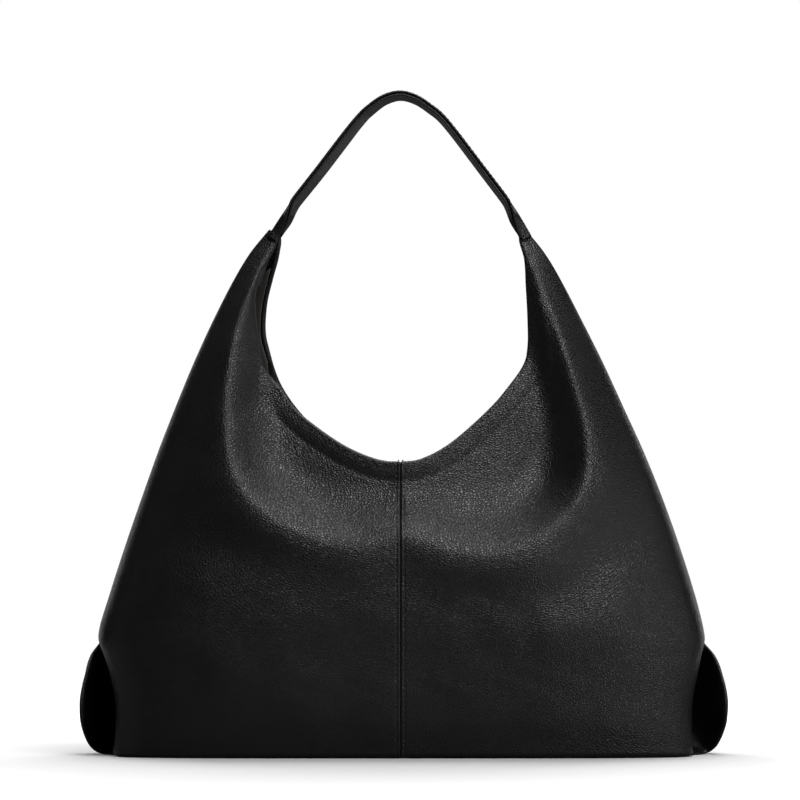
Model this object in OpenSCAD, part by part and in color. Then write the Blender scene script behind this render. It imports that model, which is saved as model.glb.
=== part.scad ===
/* [Bag] */
// Width across the bottom corners
bag_w = 500; // [470:10:530]
// Depth of the body at its fullest
bag_d = 150; // [140:5:165]
// Height to the top of the strap
bag_h = 515; // [505:5:535]
// Height at which the panels end in the two horn tips
horn_z = 388; // [384:1:390]
// Height of the lowest point of the mouth
mouth_z = 227; // [215:1:235]

/* [Tucked corners] */
// Height at which each bottom corner starts to fold inwards
tuck_z = 89; // [75:1:100]
// Depth of that fold where it is deepest
tuck_depth = 42; // [20:1:46]

/* [Skins] */
// Thickness of the leather
leather_t = 1.8; // [1.4:0.1:2]
// Thickness of the lining cloth
lining_t = 0.8; // [0.6:0.1:1]
// Play between the leather and the cloth inside it
lining_play = 1.8; // [1.6:0.1:2]
// Depth of the leather facing inside the mouth
facing_w = 38; // [28:1:45]

/* [Strap] */
// Width of the strap
strap_w = 22; // [18:1:26]
// Thickness of the strap, all three plies
strap_t = 4; // [3.4:0.2:4.4]
// Lean of the strap's legs from the vertical, in degrees
leg_lean = 37; // [36:0.5:38]
// Outer radius of the bend at the top of the strap
arch_r = 35; // [30:1:40]

/* [Zip pocket] */
// Length of the zip between its end stops
zip_l = 160; // [130:5:170]
// Height of the zip above the ground
zip_z = 172; // [165:1:176]
// Thickness of the zip pull
pull_t = 1.4; // [1:0.1:1.6]

/* [Magnetic snap] */
// Diameter of each half of the snap
snap_d = 18; // [14:1:20]

/* [Hidden] */

LEFT = -1;
RIGHT = 1;
FRONT = -1;
BACK = 1;

// Half width of the body. Below the tuck each row is [part of tuck_z, part of bag_w / 2];
// above it each row is [part of the way from tuck_z to horn_z, part of bag_w / 2].
FRONT_FOOT = [[0, 0.9], [0.5, 0.9], [0.8, 0.914]];
BACK_FOOT = [[0, 0.935], [0.12, 0.98], [0.38, 1.015], [0.58, 1.01], [0.8, 0.98]];
BODY_SIDE = [[0, 0.936], [0.2, 0.868], [0.38, 0.792], [0.54, 0.72],
             [0.7, 0.636], [0.85, 0.552], [0.94, 0.498], [1, 0.456]];
function side_rows(foot) = concat(
    [for (row = foot) [row[0] * tuck_z, row[1] * bag_w / 2]],
    [for (row = BODY_SIDE) [tuck_z + row[0] * (horn_z - tuck_z), row[1] * bag_w / 2]]);
FRONT_SIDE = side_rows(FRONT_FOOT);
BACK_SIDE = side_rows(BACK_FOOT);

// Depth of the tucked corner: [part of tuck_z, part of tuck_depth]
TUCK = [[0, 0], [0.1, 0.4], [0.38, 1], [0.7, 0.62], [1, 0]];
// Half width at the end of the base: part of bag_w / 2
BASE_END = 0.912;

// Half depth of the body: [part of horn_z, part of bag_d / 2]
DEPTH = [for (row = [[0, 0.94], [0.09, 0.99], [0.18, 1], [0.28, 0.973], [0.39, 0.88], [0.49, 0.7],
                     [0.585, 0.51], [0.67, 0.467], [0.77, 0.427], [0.87, 0.333], [0.95, 0.213],
                     [1, 0.127]])
    [row[0] * horn_z, row[1] * bag_d / 2]];

// How square the body is in plan: [part of horn_z, exponent of the superellipse]
SQUARE = [for (row = [[0, 4.4], [0.15, 3.8], [0.3, 3], [0.5, 2.6], [1, 2.3]]) [row[0] * horn_z, row[1]]];

// Lip of the mouth from a horn tip to the lowest point and one step past it:
// [part of bag_w / 2, part of the way from mouth_z to horn_z]
LIP = [for (row = [[0.388, 1], [0.396, 0.857], [0.408, 0.7], [0.404, 0.553], [0.372, 0.398],
                   [0.312, 0.255], [0.228, 0.137], [0.124, 0.043], [0, 0], [-0.124, 0.043]])
    [row[0] * bag_w / 2, mouth_z + row[1] * (horn_z - mouth_z)]];
LIP_STEPS = len(LIP) - 2;
LIP_X = [for (i = [0:len(LIP) - 1]) [i, LIP[i][0]]];
LIP_Z = [for (i = [0:len(LIP) - 1]) [i, LIP[i][1]]];

// Angle round the body in plan at which a tucked corner turns inwards
FOLD_ANGLE = 64;

// Part of each panel's top edge that closes the horn tip, before the lip starts
TIP_SHARE = 0.1;
// Where the facing starts and where it has its full depth, along the top edge
FACING_START = 0.5;
FACING_FULL = 0.65;

// Layers of the base, from the ground up
base_t = 2;
board_t = 2;
base_gap = 0.2;
board_z = base_t + base_gap;
board_edge_gap = 3;
lining_z = board_z + board_t + base_gap;

// Depth of each inner layer under the outer surface
lining_in = leather_t + lining_play;
lining_start_gap = 0.004;
pocket_gap = 1.2;
pocket_in = lining_in + lining_t + pocket_gap;
facing_gap = 1;
facing_in = leather_t + facing_gap;
facing_t = 1.4;

// Rounded end of a horn's tongue, on which the strap turns
hinge_z = horn_z + 10;
hinge_x = 0.4 * bag_w / 2;
bead_r = 4.5;
bead_gap = 0.5;
bead_w = 12;
tongue_t = 3;
tongue_l = 26;

// Straight legs of the strap, from the wraps up to the bend
leg_end = 34;
leg_top_x = arch_r * cos(leg_lean);
leg_top_z = bag_h - arch_r + arch_r * sin(leg_lean);
leg_l = (leg_top_z - hinge_z - leg_end * cos(leg_lean)) / cos(leg_lean);
outer_t = 1.6;
core_t = 0.8;
core_edge = 2;

// Stitches; a stitch floats above its surface by a little
thread_t = 0.6;
stitch_l = 4;
stitch_pitch = 8;

// Value of a table of [position, value] rows at x, on a smooth curve through the rows
function row_before(table, x, i = 0) =
    i >= len(table) - 2 || x < table[i + 1][0] ? i : row_before(table, x, i + 1);
function row_slope(table, i) =
    let(a = table[max(i - 1, 0)], b = table[min(i + 1, len(table) - 1)])
    (b[1] - a[1]) / (b[0] - a[0]);
function curve(table, x) =
    let(i = row_before(table, x), a = table[i], b = table[i + 1], step = b[0] - a[0])
    let(t = min(max((x - a[0]) / step, 0), 1), rise_a = step * row_slope(table, i))
    let(rise_b = step * row_slope(table, i + 1))
    a[1] * (1 + 2 * t) * pow(1 - t, 2) + rise_a * t * pow(1 - t, 2)
    + b[1] * (3 - 2 * t) * pow(t, 2) + rise_b * (t - 1) * pow(t, 2);
function ramp(x) = let(t = min(max(x, 0), 1)) t * t * (3 - 2 * t);

// Half width at height z of the front or the back, and of the side seam that joins them
function half_width(face, z) = curve(face == FRONT ? FRONT_SIDE : BACK_SIDE, z);
function seam_x(z) =
    let(part = z / tuck_z, foot = BASE_END * bag_w / 2)
    part >= 1 ? half_width(BACK, z)
    : foot + (half_width(BACK, tuck_z) - foot) * part - tuck_depth * curve(TUCK, part);

// Point of the body in plan at height z, an angle round from the middle (0) to the side seam (90),
// and a depth under the outer surface
function plan_point(face, z, angle, inset) =
    let(w = half_width(face, z) - inset, d = curve(DEPTH, z) - inset, n = curve(SQUARE, z))
    let(r = pow(pow(sin(angle), n) + pow(cos(angle), n), -1 / n))
    let(tuck = ramp((angle - FOLD_ANGLE) / (90 - FOLD_ANGLE)))
    [r * w * sin(angle) - tuck * (half_width(face, z) - seam_x(z)), face * r * d * cos(angle)];

// Depth of the body's surface at height z over a point x from the middle
function wall_y(x, z, inset) =
    let(w = half_width(BACK, z) - inset, d = curve(DEPTH, z) - inset, n = curve(SQUARE, z))
    d * pow(1 - pow(abs(x) / w, n), 1 / n);

// Angle in plan that meets the lip at step i of its table
function lip_angle(i) =
    let(x = curve(LIP_X, i), z = curve(LIP_Z, i), n = curve(SQUARE, z), u = x / half_width(BACK, z))
    atan2(u, pow(1 - pow(u, n), 1 / n));

// Top edge of a panel from the side seam (0) over the horn tip to the mouth's low point (1),
// as [angle, height]
function top_edge(s) =
    s < TIP_SHARE ? [90 + (lip_angle(0) - 90) * s / TIP_SHARE, horn_z]
    : let(i = (s - TIP_SHARE) / (1 - TIP_SHARE) * LIP_STEPS) [lip_angle(i), curve(LIP_Z, i)];

// Point of a panel: s runs from the side seam (0) to the middle (1), and drop runs from the
// top edge (0) to the bottom edge at foot_z (1)
function panel_point(side, face, s, drop, inset, foot_z) =
    let(top = top_edge(s), angle = top[0] * (1 - drop) + 90 * (1 - s) * drop)
    let(z = top[1] * (1 - drop) + foot_z * drop, p = plan_point(face, z, angle, inset))
    [side * p[0], p[1], z];

// Columns of a panel, from side seam to middle, and of a skin that spans both sides
COLUMNS = [0, 0.04, TIP_SHARE, 0.15, 0.19, 0.23, 0.27, 0.32, 0.38, 0.44, 0.5, 0.56, 0.62, 0.68,
           0.74, 0.8, 0.86, 0.93, 1];
function both_sides(columns) = concat(
    [for (s = columns) [LEFT, s]],
    [for (i = [len(columns) - 2:-1:0]) [RIGHT, columns[i]]]);
function rows(n) = [for (i = [0:n]) i / n];

// Closed skin between an outer and an inner grid of points. Past the middle column the quads
// are split along their other diagonal, so that the right half mirrors the left.
module skin(outer, inner, flip, middle) {
    rows = len(outer);
    cols = len(outer[0]);
    count = rows * cols;
    function split(quad, j) = j < middle ? quad : [quad[1], quad[2], quad[3], quad[0]];
    quads = concat(
        [for (i = [0:rows - 2], j = [0:cols - 2])
            split([i * cols + j, i * cols + j + 1, (i + 1) * cols + j + 1, (i + 1) * cols + j], j)],
        [for (i = [0:rows - 2], j = [0:cols - 2])
            split([count + i * cols + j, count + (i + 1) * cols + j,
                   count + (i + 1) * cols + j + 1, count + i * cols + j + 1], j)],
        [for (j = [0:cols - 2]) [j, count + j, count + j + 1, j + 1]],
        [for (j = [0:cols - 2]) let(k = (rows - 1) * cols + j) [k, k + 1, count + k + 1, count + k]],
        [for (i = [0:rows - 2]) [i * cols, (i + 1) * cols, count + (i + 1) * cols, count + i * cols]],
        [for (i = [0:rows - 2]) let(k = i * cols + cols - 1)
            [k, count + k, count + k + cols, k + cols]]);
    faces = [for (q = quads) each [[q[0], q[1], q[2]], [q[0], q[2], q[3]]]];
    points = concat([for (row = outer) each row], [for (row = inner) each row]);
    polyhedron(points, flip ? faces : [for (f = faces) [f[2], f[1], f[0]]]);
}

module panel(side, face) {
    drops = rows(16);
    function grid(inset) = [for (drop = drops) [for (s = COLUMNS)
        panel_point(side, face, s, drop, inset, base_t)]];
    color("#17171a")
        skin(grid(0), grid(leather_t), side * face > 0, len(COLUMNS));
}

// Lower edge of the facing, as part of a column's length
function facing_drop(s) =
    ramp((s - FACING_START) / (FACING_FULL - FACING_START)) * facing_w / (top_edge(s)[1] - lining_z);

module lining(face) {
    columns = both_sides(COLUMNS);
    function grid(inset) = [for (row = rows(16)) [for (c = columns)
        let(start = facing_drop(c[1]) + lining_start_gap)
        panel_point(c[0], face, c[1], start + (1 - start) * row, inset, lining_z)]];
    color("#8f8478")
        skin(grid(lining_in), grid(lining_in + lining_t), face == FRONT, floor(len(columns) / 2));
}

module facing(face) {
    columns = both_sides([for (s = COLUMNS) if (s > FACING_START) s]);
    function grid(inset) = [for (row = rows(3)) [for (c = columns)
        panel_point(c[0], face, c[1], facing_drop(c[1]) * row, inset, lining_z)]];
    color("#1b1b1e")
        skin(grid(facing_in), grid(facing_in + facing_t), face == FRONT, floor(len(columns) / 2));
}

// Outline of the body in plan at height z
module plan_outline(z, inset) {
    angles = [0:6:90];
    turns = [84:-6:0];
    quarter_up = [for (a = angles) plan_point(BACK, z, a, inset)];
    quarter_down = [for (a = turns) plan_point(FRONT, z, a, inset)];
    right_half = concat(quarter_up, quarter_down);
    left_half = [for (i = [len(right_half) - 2:-1:1]) [-right_half[i][0], right_half[i][1]]];
    polygon(concat(right_half, left_half));
}

module base_panel() {
    color("#17171a")
        linear_extrude(base_t) plan_outline(0, 0);
}

module base_board() {
    color("#6b6258")
        translate([0, 0, board_z]) linear_extrude(board_t) plan_outline(board_z, lining_in + board_edge_gap);
}

module base_lining() {
    color("#8f8478")
        translate([0, 0, lining_z]) linear_extrude(lining_t)
            plan_outline(lining_z, lining_in + lining_t + lining_play);
}

// Leather tongue inside a horn tip, with the rounded end on which the strap bends
module horn_reinforcement(side) {
    outline = [[-bead_w / 2, hinge_z], [bead_w / 2, hinge_z], [7.5, horn_z - 2],
               [8, horn_z - tongue_l], [3, horn_z - tongue_l], [0, horn_z - 2]];
    color("#2a2a2d") {
        translate([side * hinge_x, tongue_t / 2, 0]) rotate([90, 0, 0]) linear_extrude(tongue_t)
            polygon([for (p = outline) [side * p[0], p[1]]]);
        translate([side * hinge_x, 0, hinge_z]) rotate([0, 90, 0])
            cylinder(r = bead_r, h = bead_w, center = true, $fn = 48);
    }
}

// Point on the strap's outer line moved inwards by depth: the left leg, the bend, the right leg
function strap_line(depth) =
    let(r = arch_r - depth, cz = bag_h - arch_r)
    let(foot = [-leg_top_x - leg_l * sin(leg_lean), leg_top_z - leg_l * cos(leg_lean)])
    let(left_foot = foot + depth * [cos(leg_lean), -sin(leg_lean)])
    let(bend = [for (k = [0:16]) let(a = (leg_lean - 90) * (k / 8 - 1)) [-r * sin(a), cz + r * cos(a)]])
    concat([left_foot], bend, [[-left_foot[0], left_foot[1]]]);

module strap_ply(depth, thickness, width) {
    outer = strap_line(depth);
    inner = strap_line(depth + thickness);
    reversed = [for (i = [len(inner) - 1:-1:0]) inner[i]];
    translate([0, width / 2, 0]) rotate([90, 0, 0]) linear_extrude(width)
        polygon(concat(outer, reversed));
}

module strap_outer() {
    color("#17171a") strap_ply(0, outer_t, strap_w);
}

module strap_core() {
    color("#d8d2c4") strap_ply(outer_t, core_t, strap_w - 2 * core_edge);
}

module strap_lining() {
    color("#1f1f22") strap_ply(outer_t + core_t, strap_t - outer_t - core_t, strap_w);
}

// Frame of one strap leg: origin at the leg's lower end, +Z up the leg, +X towards the arch's inside
module leg_frame(side) {
    foot = strap_line(0)[0];
    mirror([side == RIGHT ? 1 : 0, 0, 0]) translate([foot[0], 0, foot[1]])
        rotate([0, leg_lean, 0]) children();
}

// Folded end of the strap, hollowed to turn on the horn tip's rounded end
wrap_t = 1;
module strap_wrap(side) {
    wrap_w = 10;
    end_t = 1;
    lift = 3.9;
    color("#202023") difference() {
        hull() {
            leg_frame(side) translate([-wrap_t, -strap_w / 2, -end_t])
                cube([strap_t + 2 * wrap_t, strap_w, end_t]);
            translate([side * hinge_x - bead_w / 2, -wrap_w / 2, hinge_z + lift])
                cube([bead_w, wrap_w, end_t]);
        }
        translate([side * hinge_x, 0, hinge_z]) rotate([0, 90, 0])
            cylinder(r = bead_r + bead_gap, h = 3 * bead_w, center = true, $fn = 48);
    }
}

// One stitch from a to b
module stitch(a, b) {
    run = b - a;
    translate(a) rotate([0, acos(run[2] / norm(run)), atan2(run[1], run[0])])
        translate([-thread_t / 2, -thread_t / 2, 0]) cube([thread_t, thread_t, norm(run)]);
}

module strap_thread() {
    edge = strap_w / 2 - 2.5;
    lift = 0.35;
    start = 2;
    steps = floor(leg_l / stitch_pitch);
    bend_angles = [-40:16:40];
    color("#0c0c0d") {
        for (side = [LEFT, RIGHT], y = [-1, 1], k = [0:steps - 1])
            leg_frame(side) translate([-lift - thread_t / 2, y * edge, start + k * stitch_pitch])
                translate([-thread_t / 2, -thread_t / 2, 0]) cube([thread_t, thread_t, stitch_l]);
        for (y = [-1, 1], a = bend_angles)
            translate([0, y * edge, bag_h - arch_r]) rotate([0, a, 0])
                translate([-stitch_l / 2, -thread_t / 2, arch_r + lift])
                    cube([stitch_l, thread_t, thread_t]);
    }
}

// Row of stitches across the outside of a strap wrap
module wrap_thread(side) {
    count = 4;
    pitch = 4;
    wrap_stitch_l = 3;
    lift = 0.7;
    below = 6;
    start = -((count - 1) * pitch + wrap_stitch_l) / 2;
    color("#0c0c0d")
        for (k = [0:count - 1])
            leg_frame(side) translate([-wrap_t - lift - thread_t, start + pitch * k, -below])
                cube([thread_t, wrap_stitch_l, thread_t]);
}

// Two rows of stitches beside the seam down the middle of the front or the back
module seam_thread(face) {
    lift = -0.5;
    off_seam = 3;
    start_z = 8;
    count = floor((mouth_z - 14) / stitch_pitch);
    color("#0c0c0d")
        for (x = [-off_seam, off_seam], k = [0:count - 1])
            let(z = start_z + k * stitch_pitch)
            stitch([x, face * wall_y(x, z, lift), z],
                   [x, face * wall_y(x, z + stitch_l, lift), z + stitch_l]);
}

// Stitches that hold the facing, a little below the lip
module mouth_thread() {
    lift = -0.6;
    below = 14;
    count = 15;
    start = FACING_START + 0.03;
    pitch = 0.031;
    length = 0.016;
    function at(side, face, s) =
        panel_point(side, face, s, below / top_edge(s)[1], lift, base_t);
    color("#0c0c0d")
        for (side = [LEFT, RIGHT], face = [FRONT, BACK], k = [0:count - 1])
            let(s = start + k * pitch)
            stitch(at(side, face, s), at(side, face, s + length));
}

// Frame on a facing at the middle of the mouth: +Z out of the facing into the bag
snap_z = mouth_z - facing_w / 2;
snap_gap = 0.6;
module snap_frame(face) {
    reach = 8;
    rise = wall_y(0, snap_z - reach, 0) - wall_y(0, snap_z + reach, 0);
    tilt = atan2(rise, 2 * reach);
    translate([0, face * wall_y(0, snap_z, facing_in + facing_t + snap_gap), snap_z])
        rotate([face * (90 + tilt), 0, 0]) children();
}

cap_t = 0.8;
cap_hole_d = 7;
magnet_h = 2.2;
magnet_d = snap_d - 2 * cap_t;
magnet_hole_d = 8;
stud_d = 6;
stud_h = 4;
stud_plate_t = 2;
backing_t = 0.5;
backing_gap = 0.2;

// Cap of the socket, open at the back for its ring magnet
module snap_socket() {
    color("#b9a26a") snap_frame(FRONT) difference() {
        cylinder(d = snap_d, h = magnet_h + cap_t, $fn = 64);
        translate([0, 0, -1]) cylinder(d = magnet_d, h = magnet_h + 1, $fn = 64);
        cylinder(d = cap_hole_d, h = 2 * magnet_h, $fn = 48);
    }
}

module snap_magnet() {
    play = 0.1;
    color("#4a4a4c") snap_frame(FRONT) translate([0, 0, play]) difference() {
        cylinder(d = magnet_d - 2 * play, h = magnet_h - 2 * play, $fn = 64);
        translate([0, 0, -1]) cylinder(d = magnet_hole_d, h = 2 * magnet_h, $fn = 48);
    }
}

module snap_stud() {
    color("#b9a26a") snap_frame(BACK) {
        cylinder(d = snap_d, h = stud_plate_t, $fn = 64);
        cylinder(d = stud_d, h = stud_h, $fn = 48);
    }
}

// Washer that spreads the pull of the snap, behind the facing
module snap_backing(face) {
    color("#9a9a9c") snap_frame(face)
        translate([0, 0, -snap_gap - facing_t - backing_gap - backing_t]) difference() {
            cylinder(d = snap_d - 4, h = backing_t, $fn = 48);
            translate([0, 0, -1]) cylinder(d = 4, h = backing_t + 2, $fn = 32);
        }
}

// Flat pocket that follows the lining, between two heights
POCKET_FOOT_Z = 62;
module pocket_sheet(face, half_w, low_z, high_z) {
    columns = [for (k = [-5:5]) k / 5];
    function grid(inset) = [for (row = rows(6)) [for (u = columns)
        let(z = high_z + (low_z - high_z) * row)
        [u * half_w, face * wall_y(u * half_w, z, inset), z]]];
    color("#857a6e")
        skin(grid(pocket_in), grid(pocket_in + lining_t), face == FRONT, floor(len(columns) / 2));
}

module slip_pocket() {
    pocket_w = 140;
    pocket_h = 110;
    pocket_sheet(FRONT, pocket_w / 2, POCKET_FOOT_Z, POCKET_FOOT_Z + pocket_h);
}

module zip_pocket() {
    side = 8;
    below_zip = 20;
    pocket_sheet(BACK, zip_l / 2 + side, POCKET_FOOT_Z, zip_z - below_zip);
}

// Frame of the zip: +X along the zip, +Y up the wall, +Z out of the wall into the bag
zip_reach = 15;
zip_tilt = atan2(wall_y(0, zip_z - zip_reach, 0) - wall_y(0, zip_z + zip_reach, 0), 2 * zip_reach);
module zip_frame() {
    translate([0, wall_y(zip_l / 2 + 10, zip_z, pocket_in), zip_z])
        rotate([90 + zip_tilt, 0, 0]) children();
}

// Tapes, and the teeth along their inner edges with a slot between the two rows
zip_off = 2.4;
slot_w = 1.8;
tape_w = 11;
tape_t = 0.6;
tape_gap = 0.4;
tape_over = 6;
tooth_w = 2.2;
tooth_h = 1.2;
tooth_l = 1.5;
tooth_pitch = 2.5;
teeth_z = zip_off + tape_t + 0.1;
teeth_margin = 4;

// Leather frame round the zip
module zip_welt() {
    welt = 5;
    welt_t = 1.2;
    opening = [zip_l + 10, tape_w - 1];
    color("#1b1b1e") zip_frame() translate([0, 0, teeth_z]) linear_extrude(welt_t)
        difference() {
            square(opening + 2 * [welt, welt], center = true);
            square(opening, center = true);
        }
}

module zip_tape(dir) {
    edge = slot_w / 2 + tape_gap;
    color("#2a2826") zip_frame()
        translate([-zip_l / 2 - tape_over, dir > 0 ? edge : -edge - tape_w, zip_off])
            cube([zip_l + 2 * tape_over, tape_w, tape_t]);
}

// Row of teeth gripping the edge of one tape
module zip_teeth(dir) {
    count = floor((zip_l - 2 * teeth_margin) / tooth_pitch);
    start = -zip_l / 2 + teeth_margin + (dir > 0 ? tooth_pitch / 2 : 0);
    edge = slot_w / 2;
    color("#b9a26a") zip_frame() for (k = [0:count - 1])
        translate([start + k * tooth_pitch, dir > 0 ? edge : -edge - tooth_w, teeth_z])
            cube([tooth_l, tooth_w, tooth_h]);
}

module zip_stops() {
    stop = [2, 7, 1.4];
    color("#b9a26a") zip_frame() for (end = [-1, 1])
        translate([end * (zip_l / 2 + 0.5) - stop[0] / 2, -stop[1] / 2, teeth_z]) cube(stop);
}

// Slider, at rest near the zip's left end
slider_l = 10;
slider_play = 0.4;
slider_z = teeth_z + tooth_h + slider_play;
slider_t = 1;
slider_rest = -zip_l / 2 + 11;
pin_r = 0.7;
pin_h = 2.2;
pin_z = slider_z + slider_t + pin_h;

// Slider: a plate on each side of the tapes, a blade between them, and two lugs with a pin
module zip_slider() {
    upper_w = 8.4;
    lower_w = 7.2;
    lower_t = 0.8;
    blade_w = 1;
    blade_z = zip_off - 1;
    lug = [1.2, 3, 3.4];
    lug_x = 3.4;
    overlap = 0.2;
    module bar(size, z) {
        translate([-size[0] / 2, -size[1] / 2, z]) cube(size);
    }
    color("#b9a26a") zip_frame() translate([slider_rest, 0, 0]) {
        bar([slider_l, upper_w, slider_t], slider_z);
        bar([slider_l, lower_w, lower_t], blade_z - overlap);
        bar([slider_l, blade_w, slider_z + slider_t / 2 - blade_z], blade_z);
        for (x = [-lug_x, lug_x]) translate([x, 0, 0])
            bar(lug, slider_z + slider_t - overlap);
        translate([0, 0, pin_z]) rotate([0, 90, 0])
            cylinder(r = pin_r, h = 2 * lug_x + 0.2, center = true, $fn = 32);
    }
}

// Pull: an eye on the slider's pin and a long tab that hangs plumb from it
module zip_pull() {
    eye_r = 1.7;
    eye_play = 0.1;
    pull_w = 5;
    pull_l = 26;
    color("#b9a26a") zip_frame() translate([slider_rest, 0, pin_z]) rotate([-zip_tilt, 0, 0])
        difference() {
            union() {
                rotate([0, 90, 0]) cylinder(r = eye_r, h = pull_w, center = true, $fn = 32);
                translate([-pull_w / 2, -pull_l, -pull_t / 2]) cube([pull_w, pull_l, pull_t]);
            }
            rotate([0, 90, 0]) cylinder(r = pin_r + eye_play, h = 2 * pull_w, center = true, $fn = 32);
        }
}

panel(LEFT, FRONT);  // front_left_panel
panel(RIGHT, FRONT);  // front_right_panel
panel(LEFT, BACK);  // back_left_panel
panel(RIGHT, BACK);  // back_right_panel
base_panel();
base_board();
base_lining();
lining(FRONT);  // front_lining
lining(BACK);  // back_lining
facing(FRONT);  // front_facing
facing(BACK);  // back_facing
horn_reinforcement(LEFT);  // left_horn_reinforcement
horn_reinforcement(RIGHT);  // right_horn_reinforcement
strap_outer();
strap_core();
strap_lining();
strap_wrap(LEFT);  // left_strap_wrap
strap_wrap(RIGHT);  // right_strap_wrap
strap_thread();
wrap_thread(LEFT);  // left_wrap_thread
wrap_thread(RIGHT);  // right_wrap_thread
seam_thread(FRONT);  // front_seam_thread
seam_thread(BACK);  // back_seam_thread
mouth_thread();
snap_socket();
snap_magnet();
snap_stud();
snap_backing(FRONT);  // snap_socket_backing
snap_backing(BACK);  // snap_stud_backing
slip_pocket();
zip_pocket();
zip_welt();
zip_tape(1);  // zip_upper_tape
zip_tape(-1);  // zip_lower_tape
zip_teeth(1);  // zip_upper_teeth
zip_teeth(-1);  // zip_lower_teeth
zip_stops();
zip_slider();
zip_pull();
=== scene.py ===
import math

import bpy
import numpy as np
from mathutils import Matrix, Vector


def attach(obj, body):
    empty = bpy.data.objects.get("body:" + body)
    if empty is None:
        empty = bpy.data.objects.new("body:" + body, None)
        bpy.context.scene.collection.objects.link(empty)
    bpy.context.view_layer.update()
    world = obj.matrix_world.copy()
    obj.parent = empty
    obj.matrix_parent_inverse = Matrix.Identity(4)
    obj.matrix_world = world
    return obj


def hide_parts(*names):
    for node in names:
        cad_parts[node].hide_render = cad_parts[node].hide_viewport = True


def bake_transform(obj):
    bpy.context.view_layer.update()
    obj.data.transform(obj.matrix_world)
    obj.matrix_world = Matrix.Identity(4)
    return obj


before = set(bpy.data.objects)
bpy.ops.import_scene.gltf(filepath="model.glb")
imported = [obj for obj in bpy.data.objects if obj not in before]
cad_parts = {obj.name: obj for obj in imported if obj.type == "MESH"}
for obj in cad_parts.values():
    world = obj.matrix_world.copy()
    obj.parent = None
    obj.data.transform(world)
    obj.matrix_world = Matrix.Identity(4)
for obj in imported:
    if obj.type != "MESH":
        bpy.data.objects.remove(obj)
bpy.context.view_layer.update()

MM = 0.001
LEFT, RIGHT = -1, 1
FRONT, BACK = -1, 1

# ---- Driving dimensions, in millimetres ----
MOUTH_Z = 221.2
# The back lip stands a little higher and further out than the front one
BACK_LIP_RISE = 3
BACK_LIP_OUT = 1.2
TIP_Z = 404
TUCK_Z = 90
TUCK_DEPTH = 52
FOOT_R = 4.0
LEATHER_T = 1.4
LIP_R = 1.6
HEM = 13
HORN_HEM = 1.2
SEAM_STITCH = 2.8
FACING_W = 38
FACING_T = 1.2
# The lining's distance from the leather's face, and from the side seam at a tucked corner
LINING_IN = 5.2
CORNER_GAP = 6
LINING_T = 0.8
BASE_IN = 4.5
BASE_LOW, BASE_HIGH = 0.1, 2.0
BASE_CLOTH_LOW, BASE_CLOTH_HIGH = 4.6, 5.4
BASE_CLOTH_HALF_W, BASE_CLOTH_HALF_D = 203, 64
POCKET_T = 0.9
POCKET_LOW = 62
SLIP_HALF_W = 70
SLIP_TOP = 172
ZIP_L = 160
ZIP_Y = 51.4
ZIP_Z = 172
ZIP_TILT = math.radians(19.8)
TAPE_W = 11
TAPE_OFF = 2.4
TAPE_GAP = 1.3
STRAP_W = 22
STRAP_STITCH = 8.6
WRAP_L = 27
# Depths of the strap's plies, from its outer face inwards
OUTER_FACE, CORE_FACE, STRAP_LINING_FACE, INNER_FACE = 0.0, -1.6, -2.4, -4.0

# Parts of the way from a horn tip to the middle: along a panel's top edge, and along its lip
TIP_SHARE = 0.1
HEM_START = 0.46
FACING_START = 0.47
LIP_CORNER = 0.42
STITCH_START = 0.46
# Points along a lip and along the strap
LIP_STEPS = 160
STRAP_STEPS = 260
WRAP_STEPS = 900


# ---- Curves ----
def curve(rows, x):
    """Value at x of a smooth curve through [position, value] rows."""
    rows = np.asarray(rows, float)
    px, py = rows[:, 0], rows[:, 1]
    slope = np.empty(len(px))
    slope[1:-1] = (py[2:] - py[:-2]) / (px[2:] - px[:-2])
    slope[0] = (py[1] - py[0]) / (px[1] - px[0])
    slope[-1] = (py[-1] - py[-2]) / (px[-1] - px[-2])
    x = np.asarray(x, float)
    i = np.clip(np.searchsorted(px, x, side="right") - 1, 0, len(px) - 2)
    step = px[i + 1] - px[i]
    t = np.clip((x - px[i]) / step, 0, 1)
    return (py[i] * (1 + 2 * t) * (1 - t) ** 2 + step * slope[i] * t * (1 - t) ** 2
            + py[i + 1] * (3 - 2 * t) * t ** 2 + step * slope[i + 1] * (t - 1) * t ** 2)


def ramp(x):
    t = np.clip(x, 0, 1)
    return t * t * (3 - 2 * t)


def bell(x, width):
    return np.exp(-(np.asarray(x, float) / width) ** 2)


def smooth_path(points, count):
    """Evenly spaced points on a smooth curve through a few [x, z] points."""
    points = np.asarray(points, float)
    index = np.arange(len(points))
    fine = np.linspace(0, len(points) - 1, 60 * len(points))
    xs = curve(np.column_stack([index, points[:, 0]]), fine)
    zs = curve(np.column_stack([index, points[:, 1]]), fine)
    run = np.concatenate([[0], np.cumsum(np.hypot(np.diff(xs), np.diff(zs)))])
    at = np.linspace(0, run[-1], count)
    return np.column_stack([np.interp(at, run, xs), np.interp(at, run, zs)])


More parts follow.
